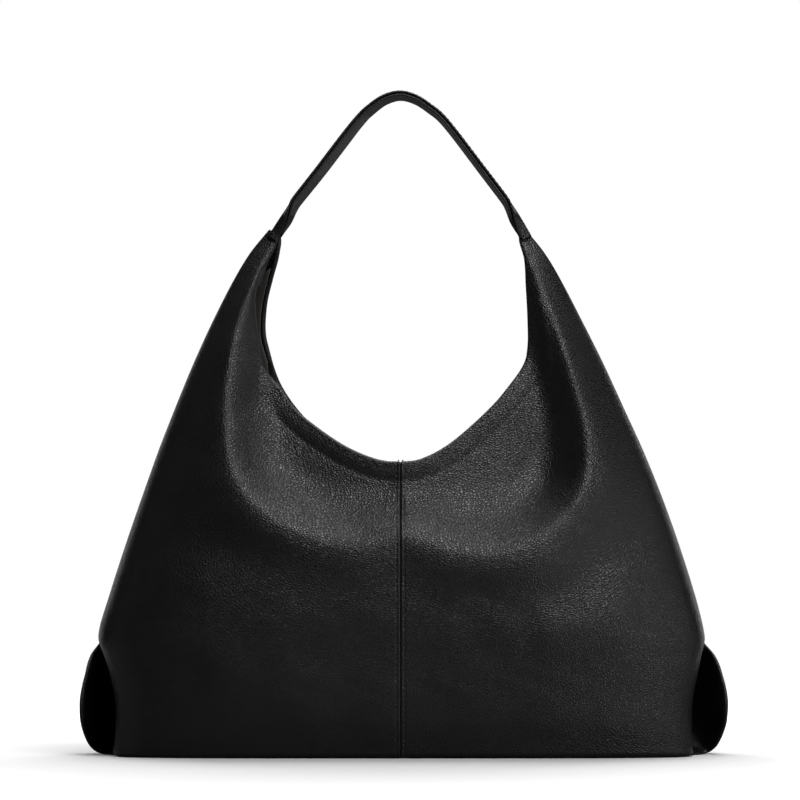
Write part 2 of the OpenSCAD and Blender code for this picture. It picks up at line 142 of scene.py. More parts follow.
def measure(path, x, z):
    """Distance from each (x, z) to a path, positive on its left hand, and the part of the way along it."""
    shape = np.shape(x)
    p = np.column_stack([np.ravel(x), np.ravel(z)])
    a, b = path[:-1], path[1:]
    d = b - a
    length = np.hypot(d[:, 0], d[:, 1])
    best = np.full(len(p), np.inf)
    signed = np.zeros(len(p))
    part = np.zeros(len(p))
    for k in range(len(a)):
        r = p - a[k]
        t = np.clip((r @ d[k]) / length[k] ** 2, 0, 1)
        gap = r - t[:, None] * d[k]
        dist = np.hypot(gap[:, 0], gap[:, 1])
        cross = d[k][0] * r[:, 1] - d[k][1] * r[:, 0]
        near = dist < best
        best = np.where(near, dist, best)
        signed = np.where(near, np.sign(cross) * dist, signed)
        part = np.where(near, (k + t) / len(a), part)
    return signed.reshape(shape), part.reshape(shape)


# ---- The shape of the bag ----
# Half width by height
UPPER_SIDE = [[TUCK_Z, 232], [118, 225.7], [174, 208.2], [229, 188.4], [266, 173.1], [303, 157.2],
              [340, 139.6], [368, 125.2], [387, 113.7], [TIP_Z, 100.1]]
SIDE = {FRONT: [[0, 221.5], [10, 220], [30, 219.5], [46, 221], [60, 224], [75, 228]] + UPPER_SIDE,
        BACK: [[0, 236], [8, 242.4], [20, 246.8], [30, 248.4], [45, 248.6], [60, 246],
               [76, 241.8]] + UPPER_SIDE}
# How far the body's sides lean to the right by height
LEAN = [[0, 2], [60, 2.5], [93, 0.7], [125, 1.3], [200, 1.1], [270, -0.9], [300, -1.6], [340, -2.4],
        [TIP_Z, -2.4]]
# Half depth by height, outside the apron that hangs from the mouth
DEPTH = [[0, 70], [30, 74], [90, 75], [130, 73], [160, 68], [200, 60], [240, 50], [280, 40.5],
         [320, 31], [350, 22.5], [375, 14.5], [390, 8], [TIP_Z, 4]]
# How square the body is in plan by height: the exponent of a superellipse
SQUARE = [[0, 4.4], [58, 3.8], [116, 3], [190, 2.6], [TIP_Z, 2.2]]
# The tucked corner by height: [part of TUCK_Z, part of the full tuck]
TUCK = [[0, 0], [0.08, 0.45], [0.35, 1], [0.7, 0.7], [0.88, 0.28], [1, 0]]
# Half width at the side seam on the ground
BASE_END = 229
# The tucked corner in plan, from where its fold starts, at an angle, to the side seam:
# [part of the way, part of the way in to the seam] and [part of the way, distance to the back]
FOLD_ANGLE = {FRONT: 68, BACK: 60}
FOLD_IN = {FRONT: [[0, 0], [0.25, 0.01], [0.5, 0.12], [0.75, 0.52], [1, 1]],
           BACK: [[0, 0], [0.4, 0], [0.5, 0.02], [0.58, 0.08], [0.7, 0.19], [0.85, 0.46], [1, 1]]}
FOLD_BACK = {FRONT: [[0, 0], [0.3, 4], [0.6, 20], [1, 44]],
             BACK: [[0, 0], [0.25, -15], [0.45, -31], [0.55, -28], [0.66, -8], [0.82, 28], [1, 44]]}

# Lip of the mouth from a horn tip to the lowest point: [distance from the middle, height]
LIPS = {
    (FRONT, RIGHT): [[93.5, TIP_Z], [98, 384], [99, 361], [100, 336], [99.8, 313], [96.8, 298.5],
                     [85.5, 282], [69, 262.8], [39, 236.2], [16, 223.6], [0, MOUTH_Z]],
    (FRONT, LEFT): [[92, TIP_Z], [97.5, 388], [105, 372], [110.2, 353], [110, 334], [108, 313], [105.4, 297],
                    [92, 279.2], [78, 259.8], [45.5, 235.4], [18, 223.2], [0, MOUTH_Z]],
    (BACK, RIGHT): [[93.5, TIP_Z], [98.7, 384], [101, 361], [102.5, 336], [102, 313], [98.8, 298.5],
                    [90, 284.5], [74, 266.2], [42.5, 239.5], [18, 227.3], [0, MOUTH_Z + BACK_LIP_RISE]],
    (BACK, LEFT): [[91, TIP_Z], [93.6, 384], [98, 368], [102.6, 350], [104.4, 330], [102.3, 314],
                   [94, 285.4], [74.5, 258.2], [53.5, 243], [28, 229.6],
                   [0, MOUTH_Z + BACK_LIP_RISE]],
}
LIP_PATHS = {key: smooth_path(rows, LIP_STEPS) for key, rows in LIPS.items()}

# Ridge of the hammock fold from a horn tip to the middle
RIDGES = {
    (FRONT, RIGHT): [[99, 398], [111, 368], [123, 338], [132, 304.5], [139, 274], [145, 240],
                     [142, 208], [127, 181], [102, 160], [72, 149], [42, 151], [14, 160], [0, 163]],
    (FRONT, LEFT): [[99, 398], [113.5, 365], [127, 335], [134, 294.5], [135.5, 254], [131, 216.5],
                    [112, 187], [84, 169], [57, 159], [36, 155], [14, 159], [0, 162]],
}
RIDGES[(BACK, RIGHT)] = RIDGES[(FRONT, LEFT)]
RIDGES[(BACK, LEFT)] = RIDGES[(FRONT, RIGHT)]
RIDGE_PATHS = {key: smooth_path(rows, 60) for key, rows in RIDGES.items()}
# The same ridges in finer steps, for soft_distance
RIDGE_SOFT = {key: smooth_path(rows, 180) for key, rows in RIDGES.items()}
# The tables below are for the left and the right hand of someone who faces the panel.
# Half depth at the lip, by the part of the way along the lip from the horn tip to the middle
LIP_DEPTH = {LEFT: [[0, 3.5], [0.15, 6.5], [0.3, 10], [0.46, 15.5], [0.6, 24], [0.75, 34], [0.88, 42],
                    [1, 45.6]],
             RIGHT: [[0, 3.5], [0.15, 7], [0.3, 11.5], [0.46, 19], [0.6, 27], [0.75, 35], [0.88, 41.5],
                     [1, 45.6]]}
# By the angle half way between the horn tips, from 0 straight down to 90 towards a tip: rise of the
# ridge over the plain body, width of its slope outside and inside, width of the wall that falls from
# it towards the lip, and the wall's share of the whole fall
RIDGE_RISE = [[0, 3.5], [15, 5.5], [30, 8], [45, 8.5], [60, 7], [75, 3.5], [90, 0.5]]
RIDGE_W = [[0, 22], [25, 25], [45, 34], [90, 34]]
RIDGE_INNER_W = 22
WALL_W = {LEFT: [[0, 50], [20, 48], [35, 42], [48, 38], [60, 27], [72, 17], [90, 6]],
          RIGHT: [[0, 50], [18, 52], [25, 46], [34, 38], [45, 34], [55, 32], [65, 24], [75, 15], [90, 6]]}
WALL_SHARE = {LEFT: [[0, 0.5], [20, 0.6], [35, 0.68], [50, 0.7], [65, 0.6], [90, 0.5]],
              RIGHT: [[0, 0.5], [18, 0.62], [25, 0.85], [30, 1.0], [60, 1.0], [90, 0.6]]}
# Soft folds elsewhere: face, side, line of [distance from the middle, height], rise, half width
SOFT_FOLDS = [
    (FRONT, RIGHT, [[60, 78], [80, 112], [110, 140], [140, 158]], 1.6, 15),
    (FRONT, RIGHT, [[90, 92], [135, 101], [185, 108]], 2.2, 22),
    (FRONT, RIGHT, [[104, 362], [110, 335], [113, 305], [113, 285]], 1.3, 4),
    (FRONT, RIGHT, [[106, 392], [117, 368], [134, 338]], 1.8, 4),
    (FRONT, LEFT, [[205, 86], [180, 70], [140, 60]], -1.5, 12),
    (FRONT, LEFT, [[196, 130], [176, 190], [160, 240]], 1.2, 14),
    (BACK, LEFT, [[70, 84], [105, 120], [150, 140]], 1.8, 18),
    (BACK, RIGHT, [[80, 110], [130, 96], [180, 100]], 1.8, 20),
]
FOLD_PATHS = [(face, side, smooth_path(line, 30), rise, width)
              for face, side, line, rise, width in SOFT_FOLDS]


def superellipse(angle, square):
    """Distance to the edge of a superellipse of half size 1, at an angle from the front or back."""
    return (np.abs(np.sin(angle)) ** square + np.abs(np.cos(angle)) ** square) ** (-1 / square)


def half_width(face, z):
    return curve(SIDE[face], z)


def seam_x(z):
    """Half width at the side seam, which is tucked in at the bottom corners."""
    part = z / TUCK_Z
    top = half_width(BACK, TUCK_Z)
    low = BASE_END + (top - BASE_END) * part - TUCK_DEPTH * curve(TUCK, part)
    return np.where(part >= 1, half_width(BACK, z), low)


def tucked(face, x, z, angle):
    """The x of a point after the corner is tucked, and how far the tuck moves it to the back."""
    part = np.clip((np.degrees(angle) - FOLD_ANGLE[face]) / (90 - FOLD_ANGLE[face]), 0, 1)
    depth = curve(TUCK, z / TUCK_Z)
    tucked_x = x - curve(FOLD_IN[face], part) * (half_width(face, z) - seam_x(z))
    return tucked_x, curve(FOLD_BACK[face], part) * depth


def plain_y(face, x, z):
    """Half depth of the plain body over a point, without the apron or any fold."""
    part = np.clip(np.abs(x) / half_width(face, z), 0, 1)
    n = curve(SQUARE, z)
    return curve(DEPTH, z) * (1 - part ** n) ** (1 / n)


def uneven(x, z, seed):
    """Gentle unevenness of hanging leather, about one millimetre high."""
    return (0.55 * np.sin(x / 31 + seed + 1.1 * np.sin(z / 37)) * np.sin(z / 27 + 2 * seed)
            + 0.3 * np.sin((x + z) / 17 + 3 * seed) * np.sin((x - z) / 23 + seed)
            + 0.12 * np.sin(x / 7.3 + 1.4 * np.sin(z / 9) + seed) * np.sin(z / 6.1 + seed))


def soft_distance(path, x, z):
    """Distance d to a path that stays smooth half way between two parts of it.

    It comes from the sum of 1 / d^6 over the path, which is 3 pi / 8 / d^5 for a straight line.
    """
    step = math.hypot(*(path[1] - path[0]))
    total = 0
    for px, pz in path:
        total = total + step / ((x - px) ** 2 + (z - pz) ** 2 + 1) ** 3
    return (total / (3 * math.pi / 8)) ** (-1 / 5)


def apron(face, side, x, z, plain):
    """Half depth with the apron: inside the ridge the leather falls back to the lip."""
    ridge_gap, _ = measure(RIDGE_PATHS[face, side], x, z)
    lip_gap, lip_at = measure(LIP_PATHS[face, side], x, z)
    round_tip = np.degrees(np.arctan2(np.abs(x), np.maximum(TIP_Z - z, 0.01)))
    inside = np.where(ridge_gap < 0, soft_distance(RIDGE_SOFT[face, side], x, z), 0)
    inside = np.clip(inside - 1, 0, None)
    hem = (HEM - 1) * ramp((lip_at - LIP_CORNER) / 0.1)
    below_hem = np.clip(np.abs(lip_gap) - hem, 0, None)
    part = inside / (inside + below_hem + 0.01)
    hand = side * -face
    share = curve(WALL_SHARE[hand], round_tip)
    fall = share * ramp(inside / curve(WALL_W[hand], round_tip)) + (1 - share) * part ** 1.6
    width = np.where(ridge_gap > 0, curve(RIDGE_W, round_tip), RIDGE_INNER_W)
    crest = plain + curve(RIDGE_RISE, round_tip) * bell(ridge_gap, width)
    lip_depth = curve(LIP_DEPTH[hand], lip_at)
    if face == BACK:
        lip_depth = lip_depth + BACK_LIP_OUT * ramp((lip_at - 0.6) / 0.3)
    return crest + (lip_depth - crest) * np.clip(fall, 0, 1)


def shaped_y(face, side, x, z, plain):
    """Half depth of the body with its apron, folds and unevenness, fading out at the side seam."""
    part = np.clip(np.abs(x) / half_width(face, z), 0, 1)
    fade = 1 - ramp((part - 0.8) / 0.2)
    full = apron(face, side, x, z, plain)
    for fold_face, fold_side, path, rise, width in FOLD_PATHS:
        if (fold_face, fold_side) == (face, side):
            gap, along = measure(path, x, z)
            ends = ramp(along / 0.25) * ramp((1 - along) / 0.25)
            full = full + rise * bell(gap, width) * ends
    body = ramp((TIP_Z - z) / 60) * ramp(z / 25)
    full = full + uneven(side * x, z, 1.0 if face == FRONT else 2.6) * body
    return plain + (full - plain) * fade


def hem_relief(face, side, x, z):
    """The rolled band along the mouth and the line of stitches pulled in below it."""
    gap, along = measure(LIP_PATHS[face, side], x, z)
    below = np.abs(gap)
    share = ramp((along - LIP_CORNER) / 0.08)
    return share * (0.3 * bell(below - 6, 5) - 0.4 * bell(below - HEM, 1.1))


def seam_relief(x):
    """Groove of the middle seam, with the raised turned edges on each side of it."""
    off = np.abs(x)
    return -0.55 * bell(off, 0.6) + 0.15 * bell(off - 1.3, 0.8) - 0.2 * bell(off - SEAM_STITCH, 0.7)


def body_y(face, side, x, z):
    """Half depth of the body over a point (x from the middle, z)."""
    return shaped_y(face, side, x, z, plain_y(face, x, z))


def lean(face, x, z):
    return curve(LEAN, z) * np.clip(np.abs(x) / half_width(face, z), 0, 1) ** 1.5


def panel_grid(face, side, columns, drops, inset=0.0, relief=True, tuck=True):
    """Points of a panel: a row for each drop from the top edge (0) to the foot (1)."""
    lip = LIP_PATHS[face, side]
    at = np.linspace(0, 1, len(lip))
    s = np.asarray(columns)[None, :]
    drop = np.asarray(drops)
    drop = drop[:, None] if drop.ndim == 1 else drop
    along = np.clip((s - TIP_SHARE) / (1 - TIP_SHARE), 0, 1)
    lip_x = np.interp(along, at, lip[:, 0])
    lip_z = np.interp(along, at, lip[:, 1])
    u = np.clip(lip_x / half_width(face, lip_z), 0, 0.9999)
    n = curve(SQUARE, lip_z)
    lip_angle = np.degrees(np.arctan2(u, (1 - u ** n) ** (1 / n)))
    top_angle = np.where(s < TIP_SHARE, 90 + (lip_angle - 90) * s / TIP_SHARE, lip_angle)
    spread = 0.73 + 0.27 * ramp((1 - s) / 0.3)
    turn = drop ** 1.6
    angle = np.radians(top_angle * (1 - turn) + 90 * (1 - s) * spread * turn)
    z = lip_z * (1 - drop)
    below = np.clip(FOOT_R - z, 0, FOOT_R)
    under = FOOT_R - np.sqrt(np.clip(FOOT_R ** 2 - below ** 2, 0, None))
    w = half_width(face, z) - inset - under
    d = curve(DEPTH, z) - inset - under
    r = superellipse(angle, curve(SQUARE, z))
    x0 = r * w * np.sin(angle)
    x, back = tucked(face, x0, z, angle) if tuck else (x0, 0)
    y = shaped_y(face, side, x0, z, r * d * np.cos(angle) + inset) - inset
    if relief:
        y = y + seam_relief(x0) + hem_relief(face, side, x0, z)
    x = x + side * lean(face, x0, z)
    return np.stack([side * x, face * y + back, z], axis=-1)


def on_body(face, side, x, z):
    """Points and outward normals of the body over (x from the middle, z)."""
    def depth(x, z):
        return body_y(face, side, x, z) + seam_relief(x) + hem_relief(face, side, x, z)

    x, z = np.asarray(x, float), np.asarray(z, float)
    y = depth(x, z)
    tiny = 0.5
    slope_x = (depth(x + tiny, z) - depth(x - tiny, z)) / (2 * tiny)
    slope_z = (depth(x, z + tiny) - depth(x, z - tiny)) / (2 * tiny)
    normal = unit(np.stack([-side * slope_x, face + 0 * y, -slope_z], axis=-1))
    point = np.stack([side * x + lean(face, x, z), face * y, z], axis=-1)
    return point, normal


# ---- Meshes ----
def make_piece(name, points, faces, material, body=None, node=None):
    mesh = bpy.data.meshes.new(name)
    mesh.from_pydata((np.asarray(points) * MM).tolist(), [], faces)
    mesh.validate()
    piece = bpy.data.objects.new(name, mesh)
    bpy.context.scene.collection.objects.link(piece)
    mesh.polygons.foreach_set("use_smooth", [True] * len(mesh.polygons))
    mesh.materials.append(material)
    if node:
        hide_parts(node)
    if body:
        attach(piece, body)
    return piece


def face_name(face):
    return "front" if face == FRONT else "back"


def side_name(side):
    return "left" if side == LEFT else "right"


def bend_at_horn(piece):
    """Bakes the piece's transform into its mesh."""
    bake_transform(piece)


def unit(v):
    return v / np.maximum(np.linalg.norm(v, axis=-1, keepdims=True), 1e-9)


def grid_normals(grid):
    down = np.gradient(grid, axis=0)
    across = np.gradient(grid, axis=1)
    return unit(np.cross(down, across))


def closed_sheet(outer, inner, flip):
    """Vertices and faces of the closed solid between two grids of points."""
    rows, cols = outer.shape[:2]
    count = rows * cols
    points = np.concatenate([outer.reshape(-1, 3), inner.reshape(-1, 3)])
    faces = []
    for i in range(rows - 1):
        for j in range(cols - 1):
            a, b, c, d = i * cols + j, (i + 1) * cols + j, (i + 1) * cols + j + 1, i * cols + j + 1
            faces.append((a, b, c, d))
            faces.append((count + d, count + c, count + b, count + a))
    rim = [(0, j) for j in range(cols - 1)] + [(i, cols - 1) for i in range(rows - 1)]
    rim += [(rows - 1, j) for j in range(cols - 1, 0, -1)] + [(i, 0) for i in range(rows - 1, 0, -1)]
    ring = [i * cols + j for i, j in rim]
    for a, b in zip(ring, ring[1:] + ring[:1]):
        faces.append((a, b, count + b, count + a))
    if flip:
        faces = [f[::-1] for f in faces]
    return points, faces


def rolled_panel(face, side, columns, drops):
    """A panel's sheet with its lip rolled over and hemmed inside the mouth."""
    grid = panel_grid(face, side, columns, drops)
    normal = grid_normals(grid) * (face * side)
    edge = unit(np.gradient(grid[0], axis=0))
    out = normal[0]
    up = unit(np.cross(edge, out))
    away = np.sum(up * (grid[0] - grid[2]), axis=-1, keepdims=True)
    up = up * np.where(away < 0, -1, 1)
    s = np.asarray(columns)[:, None]
    radius = LIP_R * ramp((s - TIP_SHARE) / 0.04) + 0.3
    centre = grid[0] - out * radius
    hem = (HORN_HEM + (HEM - HORN_HEM) * ramp((s - HEM_START) / 0.08)) * ramp((s - TIP_SHARE) / 0.06)
    rows = []
    for part in (1, 0.7, 0.4, 0.15):
        rows.append(centre - out * radius - up * hem * part)
    for turn in range(180, 0, -30):
        a = math.radians(turn)
        rows.append(centre + out * radius * math.cos(a) + up * radius * math.sin(a))
    return np.concatenate([np.array(rows), grid])


def panel(face, side, material):
    """A leather panel, with closer columns at the horn tip and beside the middle seam."""
    half_run = 255
    near_tip = [0, 0.004, 0.009, 0.016]
    near_seam = [1 - off / half_run for off in (0.35, 0.7, 1.1, 1.6, 2.1, 2.7, 3.4, 4.2, 5.2, 6.5)]
    columns = sorted(set(near_tip + list(np.linspace(0.025, 1, 84)) + near_seam))
    drops = np.concatenate([[0, 0.004, 0.008], np.linspace(0.013, 0.93, 130),
                            np.linspace(0.935, 1, 18)])
    outer = rolled_panel(face, side, columns, drops)
    normal = grid_normals(outer) * (face * side)
    inner = outer - normal * LEATHER_T
    inner[..., 2] = np.maximum(inner[..., 2], 0)
    points, faces = closed_sheet(outer, inner, face * side < 0)
    name = face_name(face) + "_" + side_name(side) + "_panel"
    piece = make_piece("leather_" + name, points, faces, material, None, name)
    bend_at_horn(piece)


def both_sides(face, columns, drops, inset, tuck=True):
    """One grid over both sides of the front or the back, from the left side seam to the right."""
    left = panel_grid(face, LEFT, columns, drops, inset, relief=False, tuck=tuck)
    right = panel_grid(face, RIGHT, columns, drops, inset, relief=False, tuck=tuck)
    return np.concatenate([left, right[:, -2::-1]], axis=1)


def push_in(grid, face, amount):
    """The grid moved towards the inside of the bag by an amount for each point."""
    normal = grid_normals(grid) * -face
    return grid - normal * np.asarray(amount)[..., None]


def sheet_between(name, outer, thickness, face, material, node):
    normal = grid_normals(outer) * -face
    inner = outer - normal * thickness
    points, faces = closed_sheet(outer, inner, face > 0)
    make_piece(name, points, faces, material, "bag", node)


def column_drop(face, columns, distance):
    """Part of each column's length that a distance below the lip is."""
    lip = LIP_PATHS[face, RIGHT]
    along = np.clip((np.asarray(columns) - TIP_SHARE) / (1 - TIP_SHARE), 0, 1)
    lip_z = np.interp(along, np.linspace(0, 1, len(lip)), lip[:, 1])
    return np.asarray(distance) / lip_z


def facing(face, material):
    """Leather band inside the mouth, which narrows to nothing at the mouth's corners."""
    end_w = 4
    below_lip = 3.0
    columns = np.linspace(FACING_START, 1, 60)
    width = end_w + (FACING_W - end_w) * ramp((columns - FACING_START) / 0.12)
    low = column_drop(face, columns, width)
    high = column_drop(face, columns, below_lip)
    rows = np.linspace(0, 1, 22)[:, None]
    drops = high + (low - high) * rows
    grid = both_sides(face, columns, drops, 3.6)
    sheet_between("facing_" + face_name(face), grid, FACING_T, face, material,
                  face_name(face) + "_facing")


def lining(face, material):
    """Cloth inside the body, from under the facing to the ground, kept clear of the corner tucks."""
    high_in = 2.0
    high_start = 1.8
    overlap = 3.0
    lowest = 5.0
    columns = np.concatenate([[0, 0.02, 0.05, 0.08], np.linspace(0.11, 1, 80)])
    share = ramp((columns - FACING_START) / 0.12)
    start = high_start + (FACING_W - overlap - high_start) * share
    high = column_drop(face, columns, start)
    high = np.maximum(high, 0.06 * ramp((TIP_SHARE + 0.12 - columns) / 0.1))
    rows = np.linspace(0, 1, 90)[:, None]
    drops = high + (1 - high) * rows
    grid = both_sides(face, columns, drops, 0, tuck=False)
    z = grid[..., 2]
    reach = seam_x(z) - CORNER_GAP * (1 - ramp((z - TUCK_Z + 10) / 20))
    grid[..., 0] = np.clip(grid[..., 0], -reach, reach)
    x = grid[..., 0]
    slack = ramp(rows / 0.15) * ramp((1 - rows) / 0.1)
    waves = (np.sin(x / 17 + 1.3 * np.sin(z / 41)) * np.sin(z / 29 + 0.8 * np.sin(x / 33))
             + 0.6 * np.sin(x / 9.5 + z / 24) * np.sin(z / 61 + 1.0))
    centred = np.concatenate([columns, columns[-2::-1]])
    loose = ramp(centred / 0.14)
    gap = high_in + (LINING_IN - high_in + (0.6 + 0.5 * waves) * slack) * loose
    grid = push_in(grid, face, np.minimum(gap, np.maximum(0.35 * curve(DEPTH, z), 1.5)))
    grid[..., 2] = np.maximum(grid[..., 2], lowest)
    if face == BACK:
        # Flat behind the zip
        beside = ramp((ZIP_L / 2 + 40 - np.abs(grid[..., 0])) / 28)
        level = ramp((36 - np.abs(grid[..., 2] - ZIP_Z)) / 20)
        flat = ZIP_Y + 0.6 - (grid[..., 2] - ZIP_Z) * math.tan(ZIP_TILT)
        grid[..., 1] += (flat - grid[..., 1]) * (beside * level)
    sheet_between("lining_" + face_name(face), grid, LINING_T, face, material,
                  face_name(face) + "_lining")


def pocket(name, face, half_w, low, high, material):
    """A patch pocket sewn on the lining, with its top edge turned over and standing a little off."""
    across = np.linspace(-half_w, half_w, 61)
    up = np.linspace(0, 1, 44)[:, None]
    z = low + (high - low) * up + 0 * across
    x = across + 0 * up
    right = on_body(face, RIGHT, np.abs(x), z)
    left = on_body(face, LEFT, np.abs(x), z)
    points = np.where(x[..., None] < 0, left[0], right[0])
    normal = np.where(x[..., None] < 0, left[1], right[1])
    edge = ramp((half_w - np.abs(x)) / 14) * ramp(up / 0.12)
    slack = edge * (0.8 + 3.2 * ramp(up)) + 0.5 * edge * np.sin(x / 13 + 2 * np.sin(z / 19))
    turned = 0.7 * ramp((up - 0.9) / 0.02)
    stitched = 0.5 * bell((half_w - np.abs(x)) - 3, 0.9) + 0.5 * bell((high - low) * (1 - up) - 11, 1)
    gap = LINING_IN + 2.2 + slack + turned - stitched
    points = points - normal * gap[..., None]
    sheet_between("pocket_" + name, points, POCKET_T, face, material, name)


def zip_point(along, up, out):
    """A point from the zip's own frame: along it, up the wall and out of the wall into the bag."""
    sine, cosine = math.sin(ZIP_TILT), math.cos(ZIP_TILT)
    y = ZIP_Y - sine * np.asarray(up) - cosine * np.asarray(out)
    z = ZIP_Z + cosine * np.asarray(up) - sine * np.asarray(out)
    return np.stack(np.broadcast_arrays(np.asarray(along, float), y, z), axis=-1)


def zip_welt(material):
    """Leather frame round the zip, rolled at its inner edge."""
    half_l, half_w = ZIP_L / 2 + 7.5, TAPE_W / 2 + 2
    corner = 3
    middle = []
    for cx, cy, start in ((1, 1, 0), (-1, 1, 90), (-1, -1, 180), (1, -1, 270)):
        for turn in range(start, start + 91, 15):
            a = math.radians(turn)
            middle.append(((half_l - corner) * cx + corner * math.cos(a),
                           (half_w - corner) * cy + corner * math.sin(a), math.cos(a), math.sin(a)))
    section = [(-2.5, 3.2), (-2.2, 4.2), (-1.2, 4.6), (0.6, 4.4), (1.8, 4.1), (2.6, 3.4), (2.9, 1.4),
               (2.9, -0.4), (1.0, 0.2), (-0.4, 2.2), (-1.6, 3.1)]
    rings = [[zip_point(x + nx * off, y + ny * off, out) for off, out in section]
             for x, y, nx, ny in middle]
    points, faces = tube(rings, closed=True)
    make_piece("leather_zip_welt", points, faces, material, "bag", "zip_welt")


def zip_tape(up, name, material):
    """Woven tape of the zip, a little wavy at its outer edge, with a sewn groove along it."""
    along = np.linspace(-ZIP_L / 2 - 6, ZIP_L / 2 + 6, 120)
    across = np.linspace(0, 1, 14)[:, None]
    place = TAPE_GAP * up + up * TAPE_W * across
    out = TAPE_OFF + 0.6 + 0.12 * np.sin(along / 6) * across - 0.25 * bell(across - 0.35, 0.05)
    top = zip_point(along + 0 * across, place + 0 * along, out)
    low = zip_point(along + 0 * across, place + 0 * along, out - 0.55)
    points, faces = closed_sheet(top, low, up < 0)
    make_piece("cloth_" + name, points, faces, material, "bag", name)


def plan_ring(z, inset, count=64):
    """Outline of the body in plan, counterclockwise from the middle of the front."""
    ring = []
    for face, side, turns in ((FRONT, RIGHT, (0, 90)), (BACK, RIGHT, (90, 0)),
                              (BACK, LEFT, (0, 90)), (FRONT, LEFT, (90, 0))):
        angle = np.radians(np.linspace(*turns, count, endpoint=False))
        w = half_width(face, z) - inset
        d = curve(DEPTH, z) - inset
        r = superellipse(angle, curve(SQUARE, z))
        x = r * w * np.sin(angle)
        x, back = tucked(face, x, z + 0 * x, angle)
        x = side * x + curve(LEAN, z) * np.sin(angle) ** 1.5
        ring.append(np.stack([x, face * r * d * np.cos(angle) + back, z + 0 * x], axis=-1))
    return np.concatenate(ring)


def oval_ring(half_w, half_d, square, count=256):
    """Outline of a superellipse, counterclockwise from the middle of the front."""
    angle = np.linspace(0, 2 * math.pi, count, endpoint=False)
    r = superellipse(angle, square)
    return np.stack([r * half_w * np.sin(angle), -r * half_d * np.cos(angle), 0 * r], axis=-1)


def tube(rings, closed=False):
    """Vertices and faces of a solid through a row of rings of points."""
    rings = np.asarray(rings)
    count, size = rings.shape[:2]
    faces = []
    for i in range(count if closed else count - 1):
        a, b = i * size, ((i + 1) % count) * size
        for j in range(size):
            k = (j + 1) % size
            faces.append((a + j, a + k, b + k, b + j))
    if not closed:
        faces.append(tuple(range(size))[::-1])
        faces.append(tuple((count - 1) * size + j for j in range(size)))
    return rings.reshape(-1, 3), faces


def slab(name, z_low, z_high, outline, edge, material, node):
    """A sheet that lies flat in the bottom of the bag, with rounded edges, from an outline by inset."""
    rings = []
    for turn in np.linspace(-90, 90, 7):
        a = math.radians(turn)
        ring = outline(edge * (1 - math.cos(a)))
        ring[:, 2] = (z_low + z_high) / 2 + (z_high - z_low) / 2 * math.sin(a)
        rings.append(ring)
    flat = outline(edge)
    flat = (flat - flat.mean(axis=0)) * [1, 1, 0]
    for share in (0.96, 0.85, 0.6, 0.3, 0.05):
        rings.append(flat * share + [0, 0, z_high])
        rings.insert(0, flat * share + [0, 0, z_low])
    points, faces = tube(rings)
    make_piece(name, points, faces, material, "bag", node)


def bag_base(leather, cloth):
    """The base's leather, and over it the cloth, which stops before the corner tucks."""
    def leather_outline(inset):
        return plan_ring(0.5, BASE_IN + inset)

    def cloth_outline(inset):
        return oval_ring(BASE_CLOTH_HALF_W - inset, BASE_CLOTH_HALF_D - inset, SQUARE[0][1])

    slab("base_leather", BASE_LOW, BASE_HIGH, leather_outline, 1.0, leather,
         "base_panel")
    slab("base_cloth", BASE_CLOTH_LOW, BASE_CLOTH_HIGH, cloth_outline, 0.4, cloth,
         "base_lining")


# ---- Strap ----
STRAP_LINE = [[-102.2, 399], [-87.4, 421], [-63.2, 452], [-34.8, 489.2], [-22.8, 501.2], [-12, 508.4],
              [0, 511.3], [12, 508.3], [23.2, 501.2], [36.6, 489.2], [65, 452], [88, 421],
              [101.2, 399]]
# Twist in degrees by the part of the way along, and the length at each end over which the strap folds
TWIST = [[0, -6], [0.12, -9], [0.3, -10.5], [0.42, -7], [0.5, -3], [0.6, -2], [0.8, -2.5], [1, -3]]
CURL_RUN = 34


def strap_frames(count):
    """Points, directions and distances along the strap's outer face."""
    path = smooth_path(STRAP_LINE, count)
    tangent = unit(np.gradient(path, axis=0))
    run = np.concatenate([[0], np.cumsum(np.hypot(*np.diff(path, axis=0).T))])
    return path, tangent, run


def strap_section(curl, across, depth):
    """Place in the strap's section, [across, outward], of a point of the flat strip."""
    full_turn = math.radians(86)
    fine = np.linspace(0, STRAP_W / 2 + 1, 200)
    turn = curl * full_turn * ramp((fine - 1.4) / 4.6)
    step = fine[1]
    b = np.concatenate([[0], np.cumsum(np.cos(turn[:-1]) * step)])
    n = -np.concatenate([[0], np.cumsum(np.sin(turn[:-1]) * step)])
    side = np.sign(across)
    off = np.abs(across)
    a = np.interp(off, fine, turn)
    place_b = np.interp(off, fine, b) + depth * np.sin(a)
    place_n = np.interp(off, fine, n) + depth * np.cos(a)
    return side * place_b, place_n


def strap_point(frames, i, across, depth):
    """Points of the strap at step i along it, from their places in the flat strip."""
    path, tangent, run = frames
    from_end = min(run[i], run[-1] - run[i])
    curl = float(1 - ramp((from_end - 2) / CURL_RUN))
    b, n = strap_section(curl, across, depth)
    twist = math.radians(float(curve(TWIST, run[i] / run[-1])))
    t = tangent[i]
    outward = np.array([-t[1], 0, t[0]])
    binormal = np.array([0, 1.0, 0])
    b_axis = binormal * math.cos(twist) + outward * math.sin(twist)
    n_axis = outward * math.cos(twist) - binormal * math.sin(twist)
    base = np.array([path[i][0], 0, path[i][1]])
    return base + np.outer(b, b_axis) + np.outer(n, n_axis)


